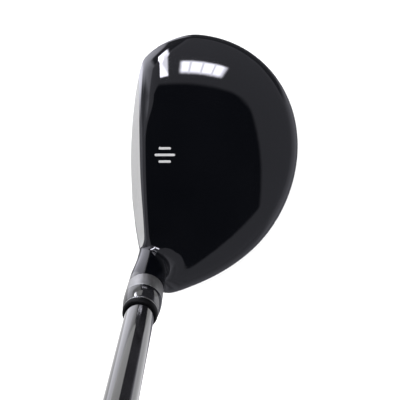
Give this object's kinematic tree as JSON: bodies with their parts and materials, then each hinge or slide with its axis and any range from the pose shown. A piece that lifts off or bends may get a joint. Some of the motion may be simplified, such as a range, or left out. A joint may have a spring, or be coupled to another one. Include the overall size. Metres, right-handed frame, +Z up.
{
  "type": "hybrid golf club",
  "caption": "Right-handed hybrid golf club: hollow gloss black head with a satin steel lofted face, black ferrule with silver rings, tapered black shaft and rubber grip.",
  "frame": {"origin": "centre of the small flat rest on the sole, where the club meets the ground at address", "axes": "+Z up from the ground; -X is where the face looks, +X the back of the head; +Y from heel to toe; the shaft rises towards -Y at a lie of 60 degrees in the YZ plane"},
  "size_m": [0.0679, 0.6026, 0.9022],
  "materials": {
    "gloss_black_paint": "gloss",
    "satin_steel": "satin",
    "sole_steel": "satin",
    "weight_metal": "satin",
    "silver_inlay": "satin",
    "ferrule_black": "gloss",
    "ferrule_silver": "satin",
    "shaft_black": "gloss",
    "grip_rubber": "matte",
    "adhesive": "matte",
    "tape_paper": "matte",
    "plug_wood": "matte"
  },
  "bodies": {
    "root": {"sole_body": "gloss_black_paint", "crown_shell": "gloss_black_paint", "face_plate": "satin_steel", "crown_mark": "silver_inlay", "sole_plate": "sole_steel", "sole_weight": "satin_steel", "weight_seat": "sole_steel", "weight_pad": "weight_metal", "hot_melt": "adhesive", "hosel_tube": "sole_steel", "hosel_stop": "sole_steel", "ferrule_ring": "ferrule_silver", "ferrule_collar": "ferrule_black", "ferrule_trim": "ferrule_silver", "ferrule_cap": "ferrule_black", "shaft_tube": "shaft_black", "shaft_epoxy": "adhesive", "tip_plug": "plug_wood", "grip_tape": "tape_paper", "grip_sleeve": "grip_rubber", "grip_cap": "grip_rubber"}
  },
  "joints": []
}
